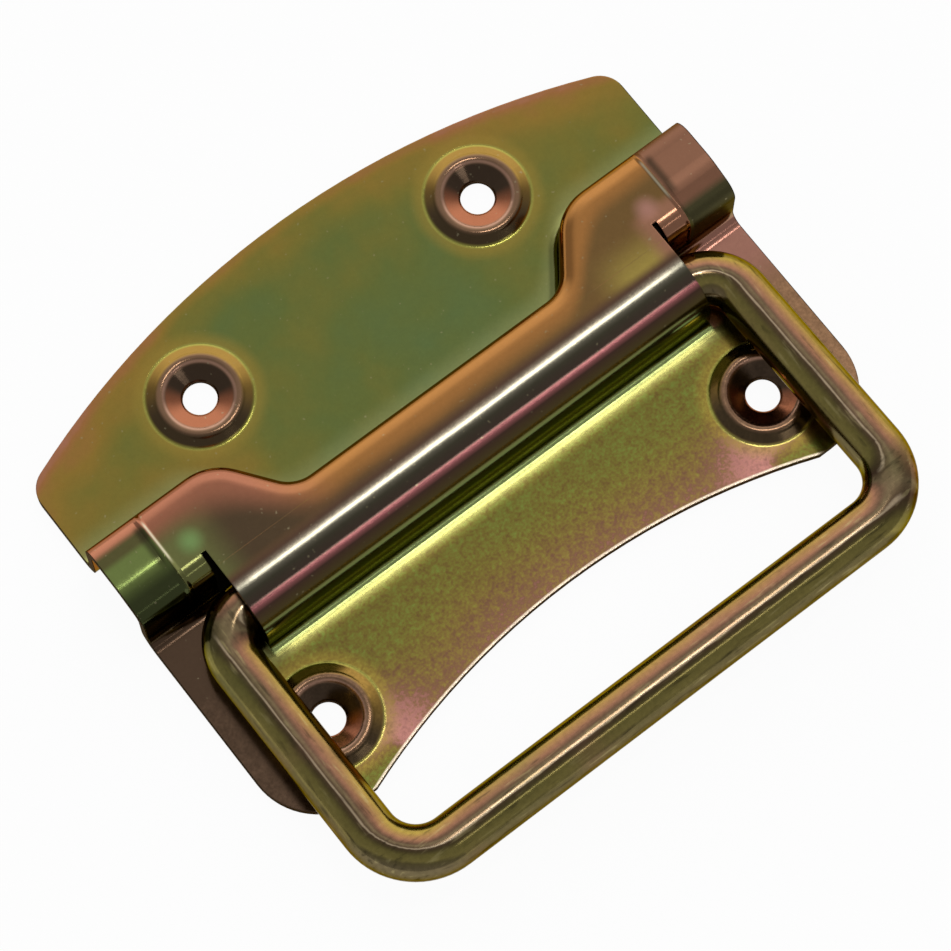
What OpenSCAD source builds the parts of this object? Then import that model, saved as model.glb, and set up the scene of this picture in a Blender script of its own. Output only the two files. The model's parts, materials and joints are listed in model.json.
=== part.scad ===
// Chest handle: a pressed sheet-steel plate and a swinging wire bail
// Lies on its back: mounting face on z = 0, +Z out of the wall, +Y towards the arched top edge
// Origin: on the mounting face, midway between the two upper screw holes
// Sizes are in millimetres

/* [Plate] */
// width across the straight sides
plate_w = 102; // [99:1:106]
// thickness of the sheet
sheet_t = 1.4; // [1.2:0.1:1.5]
// top of the arched edge above the upper screws
top_rise = 14; // [13:0.5:16]
// radius of the arched top edge
top_r = 127.7; // [115:0.1:140]
// radius of the two upper corners
top_corner_r = 4; // [2:0.5:5]
// lowest edge below the upper screws
low_edge = 59.3; // [58:0.1:61]
// deepest point of the hollow lower edge below the upper screws
low_hollow = 52.3; // [51:0.1:53]
// radius of the hollow lower edge
low_r = 109.6; // [104:0.1:118]
// radius of the two lower corners
low_corner_r = 10.4; // [8:0.1:11]

/* [Screw holes] */
// distance between the upper screws
upper_pitch = 48.8; // [46:0.1:50]
// distance between the lower screws
lower_pitch = 75.8; // [73:0.1:76]
// distance between the two rows of screws
row_pitch = 47.5; // [46.5:0.1:48]
// screw hole diameter
hole_d = 4.9; // [4:0.1:5.2]
// outside diameter of the raised ring round a screw hole
ring_d = 15.6; // [14.5:0.1:15.8]
// diameter of the rim of a ring
rim_d = 11.2; // [10.6:0.1:11.4]
// height of the rim above the plate
ring_h = 0.9; // [0.7:0.1:1]
// rounding of the rim
rim_round = 1.2; // [1:0.1:1.3]
// hollow rounding at the foot of a ring
ring_foot_r = 0.6; // [0.4:0.1:0.8]
// depth of the dish at the hole below the face of the plate
dish_depth = 0.8; // [0.6:0.1:0.9]
// bevel round the hole
hole_bevel = 0.25; // [0.1:0.05:0.4]

/* [Bridge] */
// hinge axis below the upper screws
hinge_drop = 29.4; // [29:0.1:30]
// height of the bridge over the mounting face
bridge_h = 12; // [11.6:0.1:12.6]
// wide rounding of the top towards the front
crest_r = 10.7; // [10:0.1:12]
// rounding of the top down into the front wall
front_r = 6.1; // [5.7:0.1:6.3]
// wide rounding of the plate in front of the bridge
apron_r = 4; // [3:0.1:6]
// tight rounding at the foot of the front wall
toe_r = 0.75; // [0.5:0.05:1]
// rounding of the fold along its upper side
fold_r = 3; // [2.4:0.1:3.2]
// rounding where the other walls meet the plate
foot_r = 2; // [1.6:0.1:2.2]
// upper wall above the hinge axis, in the middle
mid_wall = 8.7; // [8.4:0.1:9.4]
// upper wall above the hinge axis, at the ends
end_wall = 18.6; // [18:0.1:19]
// half length of the straight middle of the upper wall
mid_half = 20.3; // [19:0.1:21]
// inner bend radius of the S
s_low_r = 5; // [4.5:0.1:5.5]
// outer bend radius of the S
s_high_r = 8; // [7:0.1:8.5]
// half length of the closed tunnel
tunnel_half = 38.3; // [37:0.1:38.6]

/* [Stop ears] */
// front wall of the ears above the hinge axis
ear_front = 5.1; // [4.9:0.1:5.8]
// length of the part of an ear's roof that slopes down to the front
ear_slope = 2.5; // [1.5:0.1:3]
// rounding where that slope starts
ear_knee_r = 8; // [5:0.5:10]
// where the ears step down from the bridge, from the middle
step_x = 43.1; // [42:0.1:43.5]
// width of the slit between tunnel and ear wall
slit_w = 0.8; // [0.5:0.1:1]

/* [Bail] */
// wire diameter
wire_d = 7.7; // [7:0.1:7.8]
// half distance between the legs
leg_x = 43.7; // [43.4:0.1:44.4]
// hinge axis to the middle of the grip
leg_len = 43.1; // [41:0.1:50]
// bend radius at the hinge ends
top_bend_r = 6; // [5.6:0.1:6.4]
// bend radius at the grip
grip_bend_r = 8; // [7:0.1:10]
// gap between the two wire ends inside the tunnel
end_gap = 10; // [4:1:30]

/* [Clearance] */
// gap between the wire and what it lies over
wire_gap = 0.3; // [0.2:0.05:0.4]

/* [Hidden] */
$fn = 96;
half_w = plate_w / 2;
wire_r = wire_d / 2;
hinge_z = sheet_t + wire_gap + wire_r;
// the S bends slope as a 3-4-5 triangle, which keeps their ends exact
// the roundings of the top, the apron and the ears meet at angles that are exact in the same way
s_sin = 0.8;
s_cos = 0.6;
s_angle = acos(s_cos);
front_wall = ear_front + fold_r;
// section of the bridge front: outer face of the wall, then the centres of its roundings
tunnel_front = -wire_r - wire_gap - sheet_t;
crest_turn = [-0.352, 0.936];
apron_turn = [0.28, -0.96];
crest_y = tunnel_front + front_r - (crest_r - front_r) * crest_turn[0];
crest_c = [crest_y, bridge_h - crest_r];
front_c = crest_c + (crest_r - front_r) * crest_turn;
apron_y = tunnel_front - toe_r - (apron_r - toe_r) * apron_turn[0];
apron_c = [apron_y, sheet_t + apron_r];
toe_c = apron_c + (apron_r - toe_r) * apron_turn;
// section of an ear: centres of the front fold and of the knee where its roof starts to slope
ear_turn = [-0.28, 0.96];
ear_along = [0.96, 0.28];
ear_tip_z = bridge_h - ear_knee_r + (ear_knee_r - fold_r) * ear_turn[1] - ear_slope * ear_along[1];
ear_tip = [front_wall, ear_tip_z];
ear_knee = ear_tip + (fold_r - ear_knee_r) * ear_turn + ear_slope * ear_along;
// the legs lie on the rims of the lower rings
rim_z = sheet_t + ring_h;
rest_tilt = atan2(rim_z + wire_gap + wire_r - hinge_z, row_pitch - hinge_drop);
// plan of the upper wall, right half, outer face
s_run = (end_wall - mid_wall - (s_low_r + s_high_r) * (1 - s_cos)) / s_sin;
p1 = [mid_half, mid_wall];
c1 = [mid_half, mid_wall + s_low_r];
inward = [s_sin, -s_cos];
p2 = c1 + s_low_r * inward;
p3 = p2 + s_run * [s_cos, s_sin];
c2 = p3 + s_high_r * inward;
p4 = c2 + [0, s_high_r];
// flat margin that the swept wall carries on its top
lip = 2.4;
lip_mid = fold_r + lip / 2;
// longer than any radius of a bend
reach = 30;
// groove in the back of a screw ring: its flat top, its flanks and the skin over it
groove_top = 0.5;
groove_in = 1.6;
groove_out = 0.6;
groove_skin = 0.1;
// flat margin of the sheet that a screw ring carries
ring_margin = 0.4;

back_plate_color = [0.55, 0.5, 0.25];
bail_color = [0.5, 0.44, 0.24];

// part of a bent sheet round the origin, inner radius r, between two directions
module bend(r, from, to) {
  intersection() {
    difference() {
      circle(r + sheet_t);
      circle(r);
    }
    polygon([[0, 0], reach * from, reach * to]);
  }
}

// section of a wall that rises from the plate: x inwards from its outer face, y up
module wall_foot() {
  translate([-foot_r, sheet_t + foot_r])
    bend(foot_r, [0, -1], [1, 0]);
}

module wall_fold() {
  translate([0, sheet_t + foot_r])
    square([sheet_t, bridge_h - fold_r - sheet_t - foot_r]);
  translate([fold_r, bridge_h - fold_r])
    bend(fold_r - sheet_t, [0, 1], [-1, 0]);
}

module wall_top() {
  wall_fold();
  translate([fold_r, bridge_h - sheet_t])
    square([lip, sheet_t]);
}

module wall_section() {
  wall_foot();
  wall_top();
}

// a section drawn in (y, z) run along X
module along_x(x0, x1) {
  translate([x0, 0, 0])
    rotate([90, 0, 90])
      linear_extrude(x1 - x0)
        children();
}

// plan sectors that the two bends of the S fill
module low_wedge() {
  polygon([c1, c1 - [0, reach], c1 + reach * inward]);
}

module high_wedge() {
  polygon([c2, c2 + [0, reach], c2 - reach * inward]);
}

// upper wall of the bridge, swept along its S-shaped plan, right half
module s_wall() {
  along_x(0, p1[0])
    translate([mid_wall, 0])
      mirror([1, 0])
        wall_section();
  intersection() {
    translate([c1[0], c1[1], 0])
      rotate_extrude()
        translate([s_low_r, 0])
          wall_section();
    linear_extrude(bridge_h + 1)
      low_wedge();
  }
  translate([p2[0], p2[1], 0])
    rotate(s_angle)
      along_x(0, s_run)
        mirror([1, 0])
          wall_section();
  intersection() {
    translate([c2[0], c2[1], 0])
      rotate_extrude()
        translate([s_high_r, 0])
          mirror([1, 0])
            wall_section();
    linear_extrude(bridge_h + 1)
      high_wedge();
  }
  along_x(p4[0], step_x)
    translate([end_wall, 0])
      mirror([1, 0])
        wall_section();
}

// plan strip beside the upper wall, from d0 to d1 inwards of its outer face, right half
module wall_strip(d0, d1) {
  translate([0, mid_wall - d1])
    square([p1[0], d1 - d0]);
  intersection() {
    translate(c1)
      difference() {
        circle(s_low_r + d1);
        circle(s_low_r + d0);
      }
    low_wedge();
  }
  translate(p2)
    rotate(s_angle)
      translate([0, -d1])
        square([s_run, d1 - d0]);
  intersection() {
    translate(c2)
      difference() {
        circle(s_high_r - d0);
        circle(s_high_r - d1);
      }
    high_wedge();
  }
  translate([p4[0], end_wall - d1])
    square([half_w + 1 - p4[0], d1 - d0]);
}

// plan of what lies inside the swept wall, right half, down to the line y0
module bridge_core(y0, x_end) {
  polygon([
    [0, y0],
    [tunnel_half, y0],
    [tunnel_half, front_wall],
    [x_end, front_wall],
    [x_end, end_wall - lip_mid],
    p4 - [0, lip_mid],
    p3 + lip_mid * inward,
    p2 + lip_mid * inward,
    p1 - [0, lip_mid],
    [0, mid_wall - lip_mid]
  ]);
}

// flat top of the bridge, right half
module bridge_top() {
  translate([0, 0, bridge_h - sheet_t])
    linear_extrude(sheet_t)
      bridge_core(crest_y, step_x);
}

// front of the tunnel, from the apron up to the crest, right half
module tunnel_side() {
  along_x(0, tunnel_half) {
    translate(apron_c)
      bend(apron_r, [0, -1], apron_turn);
    translate(toe_c)
      bend(toe_r, apron_turn, [1, 0]);
    translate([tunnel_front, toe_c[1]])
      square([sheet_t, front_c[1] - toe_c[1]]);
    translate(front_c)
      bend(front_r - sheet_t, crest_turn, [-1, 0]);
    translate(crest_c)
      bend(crest_r - sheet_t, [0, 1], crest_turn);
  }
}

// roof and walls of an ear, without its feet: flush with the bridge behind, sloping down in front
module ear_section() {
  function on_turn(centre, r) = centre + r * ear_turn;
  translate([end_wall, 0])
    mirror([1, 0])
      wall_fold();
  translate([ear_knee[0], bridge_h - sheet_t])
    square([end_wall - fold_r - ear_knee[0], sheet_t]);
  translate(ear_knee)
    bend(ear_knee_r - sheet_t, [0, 1], ear_turn);
  polygon([
    on_turn(ear_knee, ear_knee_r),
    on_turn(ear_tip, fold_r),
    on_turn(ear_tip, fold_r - sheet_t),
    on_turn(ear_knee, ear_knee_r - sheet_t)
  ]);
  translate(ear_tip)
    bend(fold_r - sheet_t, ear_turn, [-1, 0]);
  translate([ear_front, sheet_t + foot_r])
    square([sheet_t, ear_tip[1] - sheet_t - foot_r]);
}

// pad end and stop ear, right side
module ear() {
  x_slit = tunnel_half + slit_w;
  along_x(x_slit, half_w)
    translate([ear_front, 0])
      wall_foot();
  along_x(x_slit, step_x)
    translate([ear_front, 0])
      wall_top();
  along_x(step_x, half_w) {
    translate([end_wall, 0])
      mirror([1, 0])
        wall_foot();
    ear_section();
  }
}

// outline of the plate, about the upper screw line
module outline() {
  top_c = top_rise - top_r;
  corner_x = half_w - top_corner_r;
  corner = [corner_x, top_c + sqrt(pow(top_r - top_corner_r, 2) - pow(corner_x, 2))];
  out = (corner - [0, top_c]) / norm(corner - [0, top_c]);
  difference() {
    intersection() {
      translate([0, top_c])
        circle(top_r, $fn = 360);
      union() {
        translate([-half_w, low_corner_r - low_edge])
          square([plate_w, low_edge - low_corner_r + top_rise]);
        translate([low_corner_r - half_w, -low_edge])
          square([plate_w - 2 * low_corner_r, low_corner_r + 1]);
        for (side = [-1, 1])
          translate([side * (half_w - low_corner_r), low_corner_r - low_edge])
            circle(low_corner_r);
      }
    }
    translate([0, -low_hollow - low_r])
      circle(low_r, $fn = 360);
    for (side = [0, 1])
      mirror([side, 0])
        difference() {
          polygon([corner, corner + [reach, 0], corner + [reach, reach], corner + reach * out]);
          translate(corner)
            circle(top_corner_r);
        }
  }
}

// plan of the opening in the flat sheet under bridge and ears, about the hinge, right half
module bridge_opening() {
  wall_strip(-foot_r, fold_r + lip);
  bridge_core(apron_y, half_w + 1);
  translate([tunnel_half, ear_front - foot_r])
    square([half_w + 1 - tunnel_half, foot_r + fold_r + 1]);
}

// dished ring round a screw hole, pressed up from the sheet
module screw_ring() {
  rim = [rim_d / 2, rim_z - rim_round];
  bore = hole_d / 2;
  foot = ring_d / 2;
  out = foot + ring_margin;
  // the flanks run just inside the roundings, so that they cross them
  inside = 0.98;
  hollow = [foot, sheet_t + inside * ring_foot_r];
  flank = [0.6, 0.8];
  function rim_point(a) = rim + inside * rim_round * [cos(a), sin(a)];
  groove_h = ring_h - groove_skin;
  rotate_extrude()
    difference() {
      union() {
        polygon([
          [bore, 0],
          [out, 0],
          [out, sheet_t],
          [foot, sheet_t],
          hollow - inside * ring_foot_r * flank,
          rim + inside * rim_round * flank,
          rim_point(125),
          [bore + hole_bevel, sheet_t - dish_depth + hole_bevel],
          [bore, sheet_t - dish_depth]
        ]);
        translate(rim)
          circle(rim_round);
      }
      translate(hollow)
        circle(ring_foot_r);
      polygon([
        [rim[0] - groove_in, -sheet_t],
        [rim[0] - groove_in, 0],
        [rim[0] - groove_top, groove_h],
        [rim[0] + groove_top, groove_h],
        [foot - groove_out, 0],
        [foot - groove_out, -sheet_t]
      ]);
    }
}

module screw_points() {
  for (side = [-1, 1]) {
    translate([side * upper_pitch / 2, 0, 0])
      children();
    translate([side * lower_pitch / 2, -row_pitch, 0])
      children();
  }
}

module back_plate() {
  color(back_plate_color) {
    difference() {
      linear_extrude(sheet_t)
        difference() {
          outline();
          translate([0, -hinge_drop])
            for (side = [0, 1])
              mirror([side, 0])
                bridge_opening();
        }
      screw_points()
        translate([0, 0, -1])
          cylinder(r = ring_d / 2, h = sheet_t + 2);
    }
    screw_points()
      screw_ring();
    translate([0, -hinge_drop, 0])
      for (side = [0, 1])
        mirror([side, 0, 0]) {
          s_wall();
          bridge_top();
          tunnel_side();
          ear();
        }
  }
}

// a quarter turn of the wire, round the origin from +X to +Y
module wire_bend(r) {
  rotate_extrude(angle = 90)
    translate([r, 0])
      circle(wire_r);
}

// pivot end, hinge bend, leg and grip bend, right half
module bail_side() {
  pivot_end = end_gap / 2;
  translate([pivot_end, 0, 0])
    rotate([0, 90, 0])
      cylinder(r = wire_r, h = leg_x - top_bend_r - pivot_end);
  translate([leg_x - top_bend_r, -top_bend_r, 0])
    wire_bend(top_bend_r);
  translate([leg_x, -top_bend_r, 0])
    rotate([90, 0, 0])
      cylinder(r = wire_r, h = leg_len - top_bend_r - grip_bend_r);
  translate([leg_x - grip_bend_r, grip_bend_r - leg_len, 0])
    rotate(-90)
      wire_bend(grip_bend_r);
}

module bail() {
  grip_half = leg_x - grip_bend_r;
  color(bail_color)
    translate([0, -hinge_drop, hinge_z])
      rotate([-rest_tilt, 0, 0]) {
        for (side = [0, 1])
          mirror([side, 0, 0])
            bail_side();
        translate([-grip_half, -leg_len, 0])
          rotate([0, 90, 0])
            cylinder(r = wire_r, h = 2 * grip_half);
      }
}

back_plate();
bail();
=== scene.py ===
"""Chest handle: yellow passivated steel plate and swinging wire bail, on a pale studio floor."""
import json
import math

import bpy
from mathutils import Matrix, Vector


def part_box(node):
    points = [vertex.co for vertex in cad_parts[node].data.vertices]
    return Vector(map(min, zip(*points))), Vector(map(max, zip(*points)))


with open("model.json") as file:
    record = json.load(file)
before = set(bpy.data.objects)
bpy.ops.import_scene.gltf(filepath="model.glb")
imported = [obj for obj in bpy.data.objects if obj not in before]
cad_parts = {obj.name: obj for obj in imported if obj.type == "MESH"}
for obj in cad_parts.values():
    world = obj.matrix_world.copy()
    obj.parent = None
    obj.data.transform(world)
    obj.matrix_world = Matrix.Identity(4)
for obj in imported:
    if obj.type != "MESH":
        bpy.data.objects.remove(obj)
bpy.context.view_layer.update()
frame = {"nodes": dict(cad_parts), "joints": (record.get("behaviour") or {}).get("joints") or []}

MM = 0.001
HINGE = Vector(frame["joints"][0]["pos_m"]) / MM
PLATE_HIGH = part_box("back_plate")[1] / MM
HALF_W = PLATE_HIGH.x

# Fixed direction along the plate, away from the photograph's viewer
FAR_SIDE = Vector((0.61, 0.79, 0.0))

# Camera, found from the outline of the photograph; lengths in millimetres, angles in degrees
IMAGE_PX = 951
CAMERA_AZIMUTH = -37.68
CAMERA_ELEVATION = 72.62
CAMERA_DISTANCE = 553.8
CAMERA_FOCAL_PX = 3999.4
CAMERA_TARGET = Vector((-0.83, -32.2, 0.0))
CAMERA_SENSOR = 36.0
CAMERA_CLIP = (0.01, 20.0)


def direction(azimuth, elevation):
    """Unit vector from the object towards a viewer: azimuth 0 is -Y, elevation is above the floor."""
    a, e = math.radians(azimuth), math.radians(elevation)
    return Vector((math.sin(a) * math.cos(e), -math.cos(a) * math.cos(e), math.sin(e)))


class Field:
    """A number at each point of a surface: an output socket of a node tree, with arithmetic."""

    def __init__(self, shader, socket):
        self.shader = shader
        self.socket = socket

    def _math(self, operation, *others, clamp=False):
        return self.shader.math(operation, self, *others, clamp=clamp)

    def __add__(self, other):
        return self._math("ADD", other)

    __radd__ = __add__

    def __sub__(self, other):
        return self._math("SUBTRACT", other)

    def __rsub__(self, other):
        return self.shader.math("SUBTRACT", other, self)

    def __mul__(self, other):
        return self._math("MULTIPLY", other)

    __rmul__ = __mul__

    def __truediv__(self, other):
        return self._math("DIVIDE", other)

    def abs(self):
        return self._math("ABSOLUTE")

    def sign(self):
        return self._math("SIGN")

    def sqrt(self):
        return self._math("SQRT")

    def at_least(self, other):
        return self._math("MAXIMUM", other)

    def at_most(self, other):
        return self._math("MINIMUM", other)

    def clamp(self):
        """Held between 0 and 1."""
        return self._math("ADD", 0.0, clamp=True)

    def rise(self, low, high):
        """0 below low, 1 above high and smooth between; with low over high it falls instead."""
        if low > high:
            return 1.0 - self.rise(high, low)
        return self.shader.smooth_range(self, low, high)

    def bump_at(self, centre, half_width):
        """1 at the centre, falling smoothly to 0 at half_width from it."""
        return (self - centre).abs().rise(half_width, 0.0)


class Shader:
    """Builds a node tree from fields; surface points are in millimetres, in the part's own frame."""

    def __init__(self, tree):
        self.tree = tree
        tree.nodes.clear()

    def node(self, kind, **settings):
        made = self.tree.nodes.new(kind)
        for name, value in settings.items():
            setattr(made, name, value)
        return made

    def put(self, value, socket):
        """Link a field or a socket to a socket, or set the socket to a plain value."""
        if isinstance(value, Field):
            self.tree.links.new(value.socket, socket)
        elif isinstance(value, bpy.types.NodeSocket):
            self.tree.links.new(value, socket)
        else:
            socket.default_value = value

    def math(self, operation, *values, clamp=False):
        made = self.node("ShaderNodeMath", operation=operation, use_clamp=clamp)
        for value, socket in zip(values, made.inputs):
            self.put(value, socket)
        return Field(self, made.outputs[0])

    def smooth_range(self, value, low, high):
        made = self.node("ShaderNodeMapRange", interpolation_type="SMOOTHSTEP")
        for name, number in (("Value", value), ("From Min", low), ("From Max", high)):
            self.put(number, made.inputs[name])
        return Field(self, made.outputs["Result"])

    def point(self):
        """x, y and z of the surface in millimetres, and the same as one vector."""
        place = self.node("ShaderNodeTexCoord")
        scaled = self.node("ShaderNodeVectorMath", operation="SCALE")
        self.put(place.outputs["Object"], scaled.inputs[0])
        self.put(1.0 / MM, scaled.inputs["Scale"])
        return self.split(scaled.outputs[0]), scaled.outputs[0]

    def normal(self):
        """x, y and z of the surface's normal."""
        return self.split(self.node("ShaderNodeTexCoord").outputs["Normal"])

    def split(self, vector):
        parts = self.node("ShaderNodeSeparateXYZ")
        self.put(vector, parts.inputs[0])
        return [Field(self, out) for out in parts.outputs]

    def noise(self, vector, size, detail=2.0, distortion=0.0, stretch=(1.0, 1.0, 1.0)):
        """Cloud between about -1 and 1, whose patches are about size millimetres across."""
        scaled = self.node("ShaderNodeVectorMath", operation="MULTIPLY")
        self.put(vector, scaled.inputs[0])
        self.put([1.0 / (size * s) for s in stretch], scaled.inputs[1])
        made = self.node("ShaderNodeTexNoise", noise_dimensions="3D")
        self.put(scaled.outputs[0], made.inputs["Vector"])
        made.inputs["Scale"].default_value = 0.5
        made.inputs["Detail"].default_value = detail
        made.inputs["Distortion"].default_value = distortion
        return (Field(self, made.outputs[0]) - 0.5) * 4.0

    def ramp(self, field, stops):
        """Colour along a list of (place, sRGB colour)."""
        made = self.node("ShaderNodeValToRGB")
        self.put(field, made.inputs[0])
        elements = made.color_ramp.elements
        while len(elements) < len(stops):
            elements.new(1.0)
        for element, (place, colour) in zip(elements, stops):
            element.position = place
            element.color = linear(colour)
        return made.outputs[0]

    def mix(self, share, first, second, blend="MIX"):
        """From the first colour to the second as the share goes from 0 to 1."""
        made = self.node("ShaderNodeMix", data_type="RGBA", blend_type=blend)
        self.put(share, made.inputs[0])
        for value, socket in ((first, made.inputs[6]), (second, made.inputs[7])):
            self.put(linear(value) if isinstance(value, tuple) else value, socket)
        return made.outputs[2]

    def shade(self, colour, amount):
        """Colour times a field."""
        grey = self.node("ShaderNodeCombineColor")
        for socket in grey.inputs:
            self.put(amount, socket)
        return self.mix(1.0, colour, grey.outputs[0], blend="MULTIPLY")


def linear(colour):
    """sRGB numbers from 0 to 255 as a linear colour."""
    def one(c):
        c = c / 255
        return c / 12.92 if c <= 0.04045 else ((c + 0.055) / 1.055) ** 2.4
    return (*(one(c) for c in colour), 1.0)


def new_material(name):
    material = bpy.data.materials.new(name)
    material.use_nodes = True
    return material, Shader(material.node_tree)


def distance(across, along):
    """Length of a step on the plate."""
    return (across * across + along * along).sqrt()


# Reflection at a glancing angle, duller than that of bare metal
EDGE_TINT = (0.5, 0.42, 0.28, 1.0)
ROUNDING_SAMPLES = 4


def metal(shader, colour, roughness, height, edge):
    """A metal surface from its fields; height and edge, the rounding of edges, are in millimetres."""
    surface = shader.node("ShaderNodeBsdfPrincipled")
    surface.inputs["Metallic"].default_value = 1.0
    surface.inputs["Specular Tint"].default_value = EDGE_TINT
    shader.put(colour, surface.inputs["Base Color"])
    shader.put(roughness, surface.inputs["Roughness"])
    rounded = shader.node("ShaderNodeBevel", samples=ROUNDING_SAMPLES)
    rounded.inputs["Radius"].default_value = edge * MM
    bump = shader.node("ShaderNodeBump")
    bump.inputs["Distance"].default_value = MM
    shader.put(height, bump.inputs["Height"])
    shader.put(rounded.outputs[0], bump.inputs["Normal"])
    shader.put(bump.outputs[0], surface.inputs["Normal"])
    out = shader.node("ShaderNodeOutputMaterial")
    shader.put(surface.outputs[0], out.inputs["Surface"])


# Places on the plate, in millimetres. x and y are the part's own, and v is y above the hinge.
# A zone is a pair: where a change starts, and where it is complete. A line is its middle and half width.
SHEET_T = 1.4
UPPER_SCREW_X = 24.4
LOWER_SCREW_X = 37.9
LOWER_SCREW_Y = -47.5
CUP_R = 4.6
RIM_R = 5.6
RING_R = 7.8
TOP_ARC_R = 127.7
LOW_ARC_R = 109.6
LOW_HOLLOW_Y = -52.3
STEP_X = 43.1
TUNNEL_HALF = 38.3
RIGHT_HALF = (-1.0, 1.0)
TOP_ZONE = (SHEET_T + 1.0, SHEET_T + 4.0)
LOWER_V = (-5.6, -6.6)
LOWER_Z = (5.0, 3.0)
FRONT_FOOT = (-7.0, -6.0)
FRONT_CREST = (2.0, 1.0)
EAR_ZONE = (STEP_X - 0.1, STEP_X + 0.1)

# v of the bridge's upper wall: in its middle, at its ends, and the zone of the S between them, by x
WALL_MID = 8.7
WALL_END = 18.6
WALL_S = (20.0, 35.0)

# Passivated film on the flat above the bridge, from thin to thick
FILM = [
    (0.00, (184, 120, 112)),
    (0.16, (160, 110, 66)),
    (0.34, (146, 118, 54)),
    (0.52, (124, 116, 54)),
    (0.70, (104, 113, 59)),
    (0.86, (96, 114, 68)),
    (1.00, (130, 148, 98)),
]
FILM_MIDDLE = 0.70
FILM_CLOUDS = 0.15
FILM_PATCHES = 0.11
FILM_LEFT = (-12.0, -34.0)
FILM_LEFT_THIN = 0.24
FILM_RIGHT = (14.0, 30.0)
FILM_RIGHT_THIN = 0.16
ARCH_NEAR = (8.0, 2.0)
ARCH_EDGE = (2.2, 0.4)
ARCH_THIN = 0.18
# Painted reflection: paler green along the foot of the bridge's wall
BY_WALL = (5.5, 0.8)
BY_WALL_SHARE = 0.6
BY_WALL_REFLECTION = (150, 156, 104)

# The same on the rougher flat below the bridge
LOWER_FILM = [
    (0.00, (166, 114, 104)),
    (0.20, (122, 88, 66)),
    (0.40, (118, 96, 53)),
    (0.60, (112, 102, 47)),
    (0.80, (102, 108, 48)),
    (0.94, (96, 110, 52)),
    (1.00, (140, 156, 96)),
]
LOWER_EDGE = 0.30
LOWER_RISE = 0.34
LOWER_RISE_ZONE = (0.0, 12.0)
LOWER_CLOUDS = 0.10
LOWER_SPECKLE = 0.25
RINGSIDE_THIN = 0.42
RINGSIDE_X = (22.0, 33.0)
RINGSIDE_EDGE = (12.0, 5.0)
TIP_THICK = 0.8
TIP_X = (31.0, 34.0)
TIP_Y = (-54.0, -57.5)
# Paler band painted at the bridge's foot, tinting and lightening the highlight there
APRON_LIGHT = (-8.6, -7.0)
APRON_HIGHLIGHT_TINT = (120, 117, 66)

# Painted highlight along the hollow edge
HOLLOW_LINE = (0.45, 0.25)
HOLLOW_FACE = (SHEET_T - 0.1, SHEET_T)
HOLLOW_SHARE = 0.75
HOLLOW_HIGHLIGHT = (232, 214, 190)

# Rings round the screw holes, by the distance from the hole; near and far are along FAR_SIDE
ROWS_SPLIT_Y = (-23.9, -24.1)
HOLE_GUARD = 0.01
HALO = (RING_R + 2.4, RING_R + 0.2)
HALO_SHARE = 0.55
HALO_COLOUR = (156, 132, 60)
# Painted shade where the flank faces the near side, painted light where it faces the far side
FLANK = (RING_R, RING_R - 0.6)
FLANK_SIDE = (-0.5, 0.5)
FLANK_NEAR_SHADE = (78, 64, 46)
FLANK_FAR_LIGHT = (150, 118, 58)
RIM = (RIM_R + 0.7, RIM_R + 0.1)
RIM_COLOUR = (122, 94, 72)
# Painted highlight line along the flank's outer edge
OUTER_LINE = (RING_R - 0.1, 0.4)
OUTER_SHARE = 0.55
OUTER_HIGHLIGHT = (166, 168, 84)
# Painted light on the dish's near wall and painted shade on its far wall
DISH = (CUP_R + 0.4, CUP_R - 0.1)
DISH_SIDE = (-0.2, 0.4)
DISH_NEAR_LIGHT = (160, 100, 72)
DISH_FAR_SHADE = (72, 58, 46)
# Painted highlight line round the dish's edge
INNER_LINE = (CUP_R + 0.4, 0.35)
INNER_SHARE = 0.6
INNER_HIGHLIGHT = (196, 152, 130)

# Front of the bridge, from the foot of its wall up over the crest, by v
FRONT_FROM = -6.0
FRONT_TO = 4.0
FRONT_FADE = 1.6
FRONT_END = (TUNNEL_HALF + 0.3, TUNNEL_HALF)
# Bands painted as reflection and shade: light at the foot, then dark bands with a pink line, up to the
# crest
FRONT = [
    (0.00, (144, 158, 100)),
    (0.10, (104, 120, 70)),
    (0.18, (94, 82, 46)),
    (0.31, (84, 62, 52)),
    (0.38, (178, 110, 110)),
    (0.43, (82, 66, 58)),
    (0.58, (74, 70, 56)),
    (0.72, (112, 108, 94)),
    (0.84, (90, 68, 54)),
    (1.00, (112, 84, 56)),
]

# Top of the bridge, by the depth behind its upper wall
BRIDGE_LEFT = (-16.0, -30.0)
BRIDGE_CLOUDS = 0.6
# Orange by the fold and dark brown deeper in: partly film colour, partly painted light and shade for the
# curve of the top
FOLD_MIDDLE = (164, 113, 62)
FOLD_LEFT = (158, 102, 78)
INNER_X = (-34.0, 22.0)
INNER_LEFT = (84, 68, 50)
INNER_RIGHT = (116, 89, 53)
DEPTH_MIDDLE = (3.0, 6.2)
DEPTH_LEFT = (2.0, 8.5)
PAD_X = (25.0, 32.0)
PAD_V = (10.0, 2.5)
PAD_COLOUR = (162, 142, 72)
RIGHT_SLIT_X = (35.0, 38.0)
RIGHT_SLIT_V = (11.0, 9.0)
RIGHT_SLIT_COLOUR = (152, 108, 84)
LEFT_SLIT_X = (-33.0, -40.0)
LEFT_SLIT_V = (15.5, 11.0)
LEFT_SLIT_COLOUR = (108, 110, 66)

# Ears, from behind to the front, by v
EAR_BACK = (168, 110, 84)
# Left ear: pink film behind, then a painted green highlight and painted shade at the front
LEFT_EAR = [
    ((16.6, 15.4), (92, 88, 54)),
    ((14.6, 13.4), (112, 126, 70)),
    ((11.0, 8.0), (66, 72, 44)),
]
RIGHT_EAR_V = (8.5, 7.0)
RIGHT_EAR_BACK = (128, 90, 70)
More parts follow.
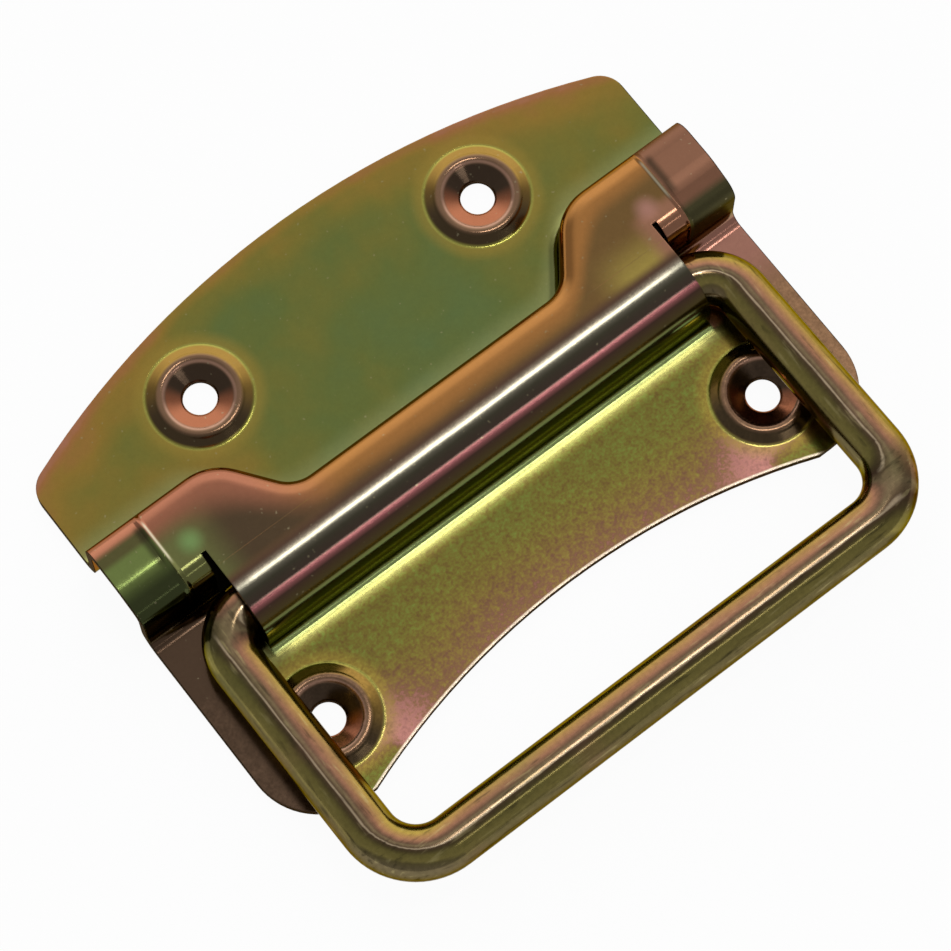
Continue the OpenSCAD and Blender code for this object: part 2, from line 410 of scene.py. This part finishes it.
# Painted shade at the right ear's front
RIGHT_EAR_FRONT_SHADE = (76, 72, 48)
RIGHT_EAR_X = (40.0, 42.0)
# Crease where an ear starts, painted: shade outside and a highlight inside
SEAM_FRONT = (9.0, 11.0)
SEAM_BACK = (17.0, 15.6)
SEAM_SHARE = 0.75
SEAM_SHADE_LINE = (STEP_X + 0.8, 1.1)
SEAM_SHADE = (50, 43, 32)
SEAM_HIGHLIGHT_LINE = (STEP_X - 0.3, 0.3)
SEAM_HIGHLIGHT = (214, 204, 176)

# Flanges below the ears
FLANGE_V = (5.5, 4.5)
FLANGE_Z = (4.0, 3.0)
LEFT_FLANGE_X = (-40.0, -43.0)
LEFT_FLANGE_COLOUR = (82, 64, 50)
RIGHT_FLANGE_X = (40.0, 43.0)
RIGHT_FLANGE_V = (0.0, -8.0)
RIGHT_FLANGE_BACK = (162, 114, 98)
RIGHT_FLANGE_FRONT = (140, 106, 78)

# Dark colour on the edges where the sheet was cut
CUT_LEAN = (0.4, 0.2)
CUT_Z = (SHEET_T + 0.3, SHEET_T)
CUT_END = (HALF_W - 0.15, HALF_W - 0.05)
CUT_SHARE = 0.95
CUT_COLOUR = (40, 33, 24)

# Sizes of the plate's noises, and the shares of the two in its speckle
CLOUD_SIZE = 18.0
PATCH_SIZE = 5.0
SPECK_SIZE = 0.35
FINE_SIZE = 0.22
FINE_SHARE = 0.7
COARSE_SIZE = 0.55
COARSE_SHARE = 0.5
UNEVEN_SIZE = 3.0
UNEVEN_STRETCH = (3.0, 1.0, 1.0)

# Grain: bright specks above the bridge, and speckle that is stronger below it
SPECK_ZONE = (0.85, 1.15)
SPECK_SHARE = 0.4
SPECK_COLOUR = (164, 154, 122)
SPECKLE_SHADE = 0.04
SPECKLE_SHADE_LOWER = 0.21
SPECKLE_RISE = 0.0005

# Gentle rise of the plate in front of the bridge, too shallow for the solid
APRON_FROM = -9.3
APRON_TO = -7.2
APRON_END = -6.4
APRON_WIDE_R = 32.0
APRON_R = 4.0
APRON_SIDE = (TUNNEL_HALF + 2.0, TUNNEL_HALF - 3.0)

# Small bulge of the bridge at the end of each slit
BULGE_X = 39.2
BULGE_V = 10.4
BULGE_ZONE = (2.6, 0.0)
BULGE_RISE = 0.06
# Painted highlight on each bulge, green on the left and pink on the right
BULGE_HIGHLIGHT_SHARE = 0.7
BULGE_HIGHLIGHT_LEFT = (128, 164, 100)
BULGE_HIGHLIGHT_RIGHT = (186, 134, 122)
# Low ridge where an ear starts
STEP_LINE = (STEP_X, 0.7)
STEP_RISE = 0.25
# Waves left by the press in the bridge
UNEVEN_RISE = 0.008

# Gloss of the plate, and how much duller parts of it are
PLATE_ROUGH = 0.13
LOWER_ROUGH = 0.05
SPECKLE_ROUGH = 0.02
RIGHT_EAR_ROUGH = 0.25
CUT_ROUGH = 0.4
PLATE_EDGE_R = 0.25


class PlateFields:
    """Places, noises and zones on the plate, from which its finish and its painted light are made."""

    def __init__(self, s):
        (self.x, self.y, self.z), p = s.point()
        self.s = s
        self.v = self.y - HINGE.y
        fine = s.noise(p, FINE_SIZE, detail=4.0)
        coarse = s.noise(p, COARSE_SIZE, detail=2.0)
        self.clouds = s.noise(p, CLOUD_SIZE, detail=3.0, distortion=0.4)
        self.speckle = FINE_SHARE * fine + COARSE_SHARE * coarse
        self.patches = s.noise(p, PATCH_SIZE, detail=3.0)
        self.specks = s.noise(p, SPECK_SIZE, detail=1.0).rise(*SPECK_ZONE)
        self.uneven = s.noise(p, UNEVEN_SIZE, detail=2.0, stretch=UNEVEN_STRETCH)
        self.right = self.x.rise(*RIGHT_HALF)
        self.top = self.z.rise(*TOP_ZONE)
        self.lower = self.v.rise(*LOWER_V) * self.z.rise(*LOWER_Z)
        self.on_bridge = self.top.at_least(self.v.rise(*FRONT_FOOT) * self.v.rise(*FRONT_CREST))
        self.on_ear = self.top * self.x.abs().rise(*EAR_ZONE)
        self.bulge = distance(self.x.abs() - BULGE_X, self.v - BULGE_V).rise(*BULGE_ZONE)

    def wall(self):
        """v of the bridge's upper wall, along its S."""
        return WALL_MID + (WALL_END - WALL_MID) * self.x.abs().rise(*WALL_S)

    def from_arch(self):
        """Distance in from the arched upper edge."""
        return TOP_ARC_R - distance(self.x, self.y - (PLATE_HIGH.y - TOP_ARC_R))

    def from_hollow(self):
        """Distance in from the hollow lower edge."""
        return distance(self.x, self.y - (LOW_HOLLOW_Y - LOW_ARC_R)) - LOW_ARC_R

    def ring(self):
        """Distance from the nearest screw hole, and how far the point is on its far side, from -1 to 1."""
        below = self.y.rise(*ROWS_SPLIT_Y)
        across = self.x - self.x.sign() * (UPPER_SCREW_X + (LOWER_SCREW_X - UPPER_SCREW_X) * below)
        along = self.y - LOWER_SCREW_Y * below
        out = distance(across, along)
        return out, (FAR_SIDE.x * across + FAR_SIDE.y * along) / (out + HOLE_GUARD)

    def cut(self):
        """1 on the edges where the sheet was cut."""
        steep = self.s.normal()[2].abs().rise(*CUT_LEAN) * self.z.rise(*CUT_Z)
        return steep.at_least(self.x.abs().rise(*CUT_END))


def upper_colour(f):
    """Green in the middle, olive towards the ends, orange and pink along the arch, and a painted reflection
    paler by the wall.
    """
    from_arch = f.from_arch()
    film = FILM_MIDDLE + FILM_CLOUDS * f.clouds + FILM_PATCHES * f.patches
    film = film - FILM_LEFT_THIN * f.x.rise(*FILM_LEFT) - FILM_RIGHT_THIN * f.x.rise(*FILM_RIGHT)
    film = film - ARCH_THIN * from_arch.rise(*ARCH_NEAR) - ARCH_THIN * from_arch.rise(*ARCH_EDGE)
    colour = f.s.ramp(film.clamp(), FILM)
    return f.s.mix(BY_WALL_SHARE * (f.v - f.wall()).rise(*BY_WALL), colour, BY_WALL_REFLECTION)


def lower_colour(f):
    """Green by the bridge with a paler painted highlight at its foot, brown to pink by the hollow edge and
    round the rings, pale green at the tips.
    """
    from_hollow = f.from_hollow()
    film = LOWER_EDGE + LOWER_RISE * from_hollow.rise(*LOWER_RISE_ZONE)
    film = film + LOWER_CLOUDS * f.clouds + LOWER_SPECKLE * f.speckle
    film = film - RINGSIDE_THIN * f.x.abs().rise(*RINGSIDE_X) * from_hollow.rise(*RINGSIDE_EDGE)
    film = film + TIP_THICK * f.x.abs().rise(*TIP_X) * f.y.rise(*TIP_Y)
    colour = f.s.ramp(film.clamp(), LOWER_FILM)
    return f.s.mix(f.v.rise(*APRON_LIGHT), colour, APRON_HIGHLIGHT_TINT)


def bridge_colour(f):
    """Orange by the fold, pinker to the left, brown behind the crest, partly film colour and partly painted
    light and shade for the top's curve; then the painted reflection bands of the front.
    """
    s = f.s
    left = f.x.rise(*BRIDGE_LEFT)
    depth = f.wall() - f.v + BRIDGE_CLOUDS * f.clouds
    by_fold = s.mix(left, FOLD_MIDDLE, FOLD_LEFT)
    inner = s.mix(f.x.rise(*INNER_X), INNER_LEFT, INNER_RIGHT)
    middle = depth.rise(*DEPTH_MIDDLE)
    colour = s.mix(middle + left * (depth.rise(*DEPTH_LEFT) - middle), by_fold, inner)
    colour = s.mix(f.x.rise(*PAD_X) * f.v.rise(*PAD_V), colour, PAD_COLOUR)
    colour = s.mix(f.x.rise(*RIGHT_SLIT_X) * f.v.rise(*RIGHT_SLIT_V), colour, RIGHT_SLIT_COLOUR)
    colour = s.mix(f.x.rise(*LEFT_SLIT_X) * f.v.rise(*LEFT_SLIT_V), colour, LEFT_SLIT_COLOUR)
    # Painted reflection bands of the front
    front = s.ramp(((f.v - FRONT_FROM) / (FRONT_TO - FRONT_FROM)).clamp(), FRONT)
    in_front = f.v.rise(FRONT_TO, FRONT_TO - FRONT_FADE) * f.x.abs().rise(*FRONT_END)
    return s.mix(in_front, colour, front)


def ear_colour(f):
    """Pink behind, then a painted green highlight and painted shade in front on the left ear; reddish on
    the right one, with painted shade in front.
    """
    left = EAR_BACK
    for zone, colour in LEFT_EAR:
        left = f.s.mix(f.v.rise(*zone), left, colour)
    right = f.s.mix(f.v.rise(*RIGHT_EAR_V), RIGHT_EAR_BACK, RIGHT_EAR_FRONT_SHADE)
    return f.s.mix(f.right, left, right)


def with_seams(f, colour):
    """Painted shade and highlight of the crease beside each ear."""
    seam = f.top * f.v.rise(*SEAM_FRONT) * f.v.rise(*SEAM_BACK)
    beside = f.x.abs()
    colour = f.s.mix(SEAM_SHARE * seam * beside.bump_at(*SEAM_SHADE_LINE), colour, SEAM_SHADE)
    return f.s.mix(SEAM_SHARE * seam * beside.bump_at(*SEAM_HIGHLIGHT_LINE), colour, SEAM_HIGHLIGHT)


def with_flanges(f, colour):
    """Dark left flange and pink right one."""
    flange = f.v.rise(*FLANGE_V) * f.z.rise(*FLANGE_Z)
    colour = f.s.mix(flange * f.x.rise(*LEFT_FLANGE_X), colour, LEFT_FLANGE_COLOUR)
    right = f.s.mix(f.v.rise(*RIGHT_FLANGE_V), RIGHT_FLANGE_BACK, RIGHT_FLANGE_FRONT)
    return f.s.mix(flange * f.x.rise(*RIGHT_FLANGE_X), colour, right)


def with_hollow_line(f, colour):
    """Narrow painted highlight along the hollow edge."""
    line = f.from_hollow().rise(*HOLLOW_LINE) * f.z.rise(*HOLLOW_FACE)
    return f.s.mix(HOLLOW_SHARE * line, colour, HOLLOW_HIGHLIGHT)


def with_rings(f, colour):
    """Yellow halo; flank with painted shade on the near side and painted light on the far; brown rim; dish
    with painted shade on the far side and painted light on the near; two painted highlight lines.
    """
    s = f.s
    out, side = f.ring()
    colour = s.mix(HALO_SHARE * out.rise(*HALO), colour, HALO_COLOUR)
    colour = s.mix(out.rise(*FLANK), colour, s.mix(side.rise(*FLANK_SIDE), FLANK_NEAR_SHADE, FLANK_FAR_LIGHT))
    colour = s.mix(out.rise(*RIM), colour, RIM_COLOUR)
    colour = s.mix(OUTER_SHARE * out.bump_at(*OUTER_LINE), colour, OUTER_HIGHLIGHT)
    colour = s.mix(out.rise(*DISH), colour, s.mix(side.rise(*DISH_SIDE), DISH_NEAR_LIGHT, DISH_FAR_SHADE))
    return s.mix(INNER_SHARE * out.bump_at(*INNER_LINE), colour, INNER_HIGHLIGHT)


def with_grain(f, colour):
    """Bright specks above the bridge, and speckle."""
    colour = f.s.mix(SPECK_SHARE * f.specks * (1.0 - f.lower), colour, SPECK_COLOUR)
    return f.s.shade(colour, 1.0 + (SPECKLE_SHADE + SPECKLE_SHADE_LOWER * f.lower) * f.speckle)


def plate_colour(f, cut):
    s = f.s
    colour = s.mix(f.lower, upper_colour(f), lower_colour(f))
    colour = s.mix(f.on_bridge, colour, bridge_colour(f))
    colour = s.mix(f.on_ear, colour, ear_colour(f))
    for add in (with_seams, with_flanges, with_hollow_line, with_rings, with_grain):
        colour = add(f, colour)
    colour = s.mix(CUT_SHARE * cut, colour, CUT_COLOUR)
    # Painted highlight on the bulges
    bulge_highlight = s.mix(f.right, BULGE_HIGHLIGHT_LEFT, BULGE_HIGHLIGHT_RIGHT)
    return s.mix(BULGE_HIGHLIGHT_SHARE * f.bulge * f.top, colour, bulge_highlight)


def apron_height(f):
    """Height of the gentle rise: a wide arc that runs on over the solid's own tighter one."""
    run = (f.v - APRON_FROM).at_least(0.0).at_most(APRON_TO - APRON_FROM)
    over = (f.v - APRON_TO).at_least(0.0).at_most(APRON_END - APRON_TO)
    slope = (APRON_TO - APRON_FROM) / APRON_WIDE_R
    height = run * run / (2.0 * APRON_WIDE_R) + over * slope - over * over / (2.0 * APRON_R)
    return height * f.x.abs().rise(*APRON_SIDE)


def plate_height(f):
    """Relief of the plate, in millimetres."""
    waves = SPECKLE_RISE * f.speckle + UNEVEN_RISE * f.uneven * f.on_bridge
    step = f.x.abs().bump_at(*STEP_LINE)
    return waves + apron_height(f) + (BULGE_RISE * f.bulge + STEP_RISE * step) * f.top


# Plate's material: film colours with painted shade, highlights and reflections, grain and relief
def plate_film_and_painted_light():
    material, s = new_material("plate_film_and_painted_light_looks")
    f = PlateFields(s)
    cut = f.cut()
    roughness = PLATE_ROUGH + LOWER_ROUGH * f.lower + SPECKLE_ROUGH * f.speckle
    roughness = roughness + RIGHT_EAR_ROUGH * f.on_ear * f.x.rise(*RIGHT_EAR_X) + CUT_ROUGH * cut
    metal(s, plate_colour(f, cut), roughness, plate_height(f), PLATE_EDGE_R)
    return material


# Wire, by the sideways lean of its surface, from the photograph's near side round to the far side
# Film colours laid with painted reflection and shade by side: lit tan on the far side, dark bands near the
# top
WIRE = [
    (0.00, (112, 100, 72)),
    (0.10, (104, 94, 60)),
    (0.16, (136, 124, 70)),
    (0.28, (122, 112, 62)),
    (0.37, (86, 74, 48)),
    (0.45, (80, 60, 47)),
    (0.53, (126, 108, 80)),
    (0.57, (114, 88, 68)),
    (0.64, (144, 102, 78)),
    (0.74, (148, 112, 70)),
    (0.86, (156, 132, 62)),
    (1.00, (140, 120, 62)),
]
WIRE_WAVER = 0.03
GRIP_Y = (-63.0, -68.0)
# Streaks drawn out along the legs and along the grip
STREAK_SIZE = 0.45
STREAK_DETAIL = 3.0
LEG_STRETCH = (1.0, 7.0, 1.0)
GRIP_STRETCH = (7.0, 1.0, 1.0)
STREAK_SHADE = 0.10
# Painted highlight line along the top of the wire, by the sideways and the upward lean
WIRE_HIGHLIGHT_LINE = (-0.10, 0.06)
WIRE_HIGHLIGHT_UP = (0.8, 0.94)
WIRE_HIGHLIGHT_SHARE = 0.8
WIRE_HIGHLIGHT_COLOUR = (190, 170, 140)
# Tints laid over parts of the wire: how much, from where to where on a cloud, and the colour
PATCH_TINTS = [
    (0.45, (0.2, 1.2), (142, 100, 84)),
    (0.55, (-0.1, -1.1), (94, 98, 56)),
]
STREAK_TINTS = [
    (0.35, (0.35, 0.9), (172, 160, 112)),
    (0.50, (-0.35, -0.9), (52, 46, 32)),
]
WIRE_PATCH_SIZE = 9.0
GRAIN_SIZE = 0.3
GRAIN_SHADE = 0.11
GRAIN_RISE = 0.0006
GRAIN_ROUGH = 0.02
WIRE_ROUGH = 0.15
WIRE_EDGE_R = 0.2


def wire_streaks(s, y, p):
    """Streaks that run along the legs and, past the bends, along the grip."""
    legs = s.noise(p, STREAK_SIZE, detail=STREAK_DETAIL, stretch=LEG_STRETCH)
    grip = s.noise(p, STREAK_SIZE, detail=STREAK_DETAIL, stretch=GRIP_STRETCH)
    return legs + y.rise(*GRIP_Y) * (grip - legs)


# Wire's material: film colours with painted reflection, shade and highlight, streaks and grain
def wire_film_and_painted_light():
    material, s = new_material("wire_film_and_painted_light_looks")
    place, p = s.point()
    streaks = wire_streaks(s, place[1], p)
    patches = s.noise(p, WIRE_PATCH_SIZE, detail=2.0)
    grain = s.noise(p, GRAIN_SIZE, detail=2.0)
    nx, ny, nz = s.normal()
    # Colour by the normal's lean: painted reflection and shade
    lean = nx + ny + WIRE_WAVER * streaks
    colour = s.ramp((0.5 + 0.5 * lean).clamp(), WIRE)
    # Painted highlight line along the top of the wire
    top_highlight = lean.bump_at(*WIRE_HIGHLIGHT_LINE) * nz.rise(*WIRE_HIGHLIGHT_UP)
    colour = s.mix(WIRE_HIGHLIGHT_SHARE * top_highlight, colour, WIRE_HIGHLIGHT_COLOUR)
    for field, tints in ((patches, PATCH_TINTS), (streaks, STREAK_TINTS)):
        for share, zone, tint in tints:
            colour = s.mix(share * field.rise(*zone), colour, tint)
    colour = s.shade(colour, 1.0 + STREAK_SHADE * streaks)
    colour = s.shade(colour, 1.0 + GRAIN_SHADE * grain)
    metal(s, colour, WIRE_ROUGH + GRAIN_ROUGH * grain, GRAIN_RISE * grain, WIRE_EDGE_R)
    return material


# Floor: white to the eye, but dark in the shadow under the raised bridge
FLOOR_WHITE = 0.95
FLOOR_HALF = 2.0
FLOOR_DROP = 0.0002
FLOOR_COLOUR = (244, 244, 244)
SHADOW_COLOUR = (40, 36, 30)
SHADOW_X = (HALF_W - 2.0, HALF_W - 4.0)
SHADOW_FRONT_Y = (-37.0, -36.0)
SHADOW_BACK_Y = (-12.0, -13.0)


def studio_floor():
    material, s = new_material("studio_floor")
    x, y, _ = s.point()[0]
    covered = x.abs().rise(*SHADOW_X) * y.rise(*SHADOW_FRONT_Y) * y.rise(*SHADOW_BACK_Y)
    matt = s.node("ShaderNodeBsdfDiffuse")
    s.put(s.mix(covered, FLOOR_COLOUR, SHADOW_COLOUR), matt.inputs["Color"])
    glow = s.node("ShaderNodeEmission")
    glow.inputs["Color"].default_value = (1.0, 1.0, 1.0, 1.0)
    path = s.node("ShaderNodeLightPath")
    camera, glossy, through = (
        Field(s, path.outputs[name]) for name in ("Is Camera Ray", "Is Glossy Ray", "Is Transmission Ray")
    )
    seen = (camera + glossy + through).clamp()
    both = s.node("ShaderNodeMixShader")
    s.put(seen * FLOOR_WHITE * (1.0 - covered), both.inputs[0])
    s.put(matt.outputs[0], both.inputs[1])
    s.put(glow.outputs[0], both.inputs[2])
    out = s.node("ShaderNodeOutputMaterial")
    s.put(both.outputs[0], out.inputs["Surface"])
    return material


def make_floor():
    mesh = bpy.data.meshes.new("studio_floor")
    h = FLOOR_HALF
    mesh.from_pydata([(-h, -h, 0), (h, -h, 0), (h, h, 0), (-h, h, 0)], [], [(0, 1, 2, 3)])
    floor = bpy.data.objects.new("studio_floor", mesh)
    floor.location.z = -FLOOR_DROP
    mesh.materials.append(studio_floor())
    bpy.context.scene.collection.objects.link(floor)


# Light: a dim room with a pale ceiling and a bright far side, and two strips overhead.
# Zones are by the direction looked in: how far to the far side, and how high.
ROOM_DIM = 0.56
CEILING = 0.46
CEILING_FAR = (-0.25, 0.4)
CEILING_UP = (0.5, 0.9)
FAR_LIGHT = 1.26
FAR_ZONE = (0.4, 0.85)
# Each strip's name, direction, width and depth in metres, and brightness, 1 being white
STRIPS = [
    ("strip_over", Vector((0.186, 0.05, 0.981)), 0.23, 0.075, 11.0),
    ("strip_front", Vector((0.186, -0.58, 0.80)), 0.25, 0.04, 3.5),
]
STRIP_DISTANCE = 1.0
WATTS_PER_AREA = 4.0


def make_world():
    world = bpy.data.worlds.new("studio")
    world.use_nodes = True
    s = Shader(world.node_tree)
    place = s.node("ShaderNodeTexCoord")
    x, y, z = s.split(place.outputs["Generated"])
    far = FAR_SIDE.x * x + FAR_SIDE.y * y
    ceiling = far.rise(*CEILING_FAR) * z.rise(*CEILING_UP)
    level = ROOM_DIM + CEILING * ceiling + FAR_LIGHT * far.rise(*FAR_ZONE)
    back = s.node("ShaderNodeBackground")
    s.put(level, back.inputs["Strength"])
    out = s.node("ShaderNodeOutputWorld")
    s.put(back.outputs[0], out.inputs["Surface"])
    bpy.context.scene.world = world


def make_strip(name, towards, width, depth, level):
    """Area lamp seen from the object along a direction, with its width along X."""
    lamp = bpy.data.lights.new(name, "AREA")
    lamp.shape = "RECTANGLE"
    lamp.size, lamp.size_y = width, depth
    lamp.energy = level * WATTS_PER_AREA * width * depth
    body = bpy.data.objects.new(name, lamp)
    towards = towards.normalized()
    body.location = CAMERA_TARGET * MM + towards * STRIP_DISTANCE
    along = (Vector((1.0, 0.0, 0.0)) - towards * towards.x).normalized()
    body.rotation_mode = "QUATERNION"
    body.rotation_quaternion = Matrix((along, towards.cross(along), towards)).transposed().to_quaternion()
    bpy.context.scene.collection.objects.link(body)


def make_camera():
    data = bpy.data.cameras.new("camera")
    data.sensor_width = CAMERA_SENSOR
    data.lens = CAMERA_FOCAL_PX / IMAGE_PX * data.sensor_width
    data.clip_start, data.clip_end = CAMERA_CLIP
    camera = bpy.data.objects.new("camera", data)
    back = direction(CAMERA_AZIMUTH, CAMERA_ELEVATION)
    camera.location = (CAMERA_TARGET + back * CAMERA_DISTANCE) * MM
    camera.rotation_mode = "QUATERNION"
    camera.rotation_quaternion = (-back).to_track_quat("-Z", "Y")
    bpy.context.scene.collection.objects.link(camera)
    bpy.context.scene.camera = camera


def dress(node, material):
    """Give a CAD node its material, in place of the ones it came with."""
    thing = frame["nodes"][node]
    thing.data.materials.clear()
    thing.data.materials.append(material)


make_camera()
make_world()
for strip in STRIPS:
    make_strip(*strip)
make_floor()
dress("back_plate", plate_film_and_painted_light())
dress("bail", wire_film_and_painted_light())
bpy.context.scene.view_settings.view_transform = "Standard"
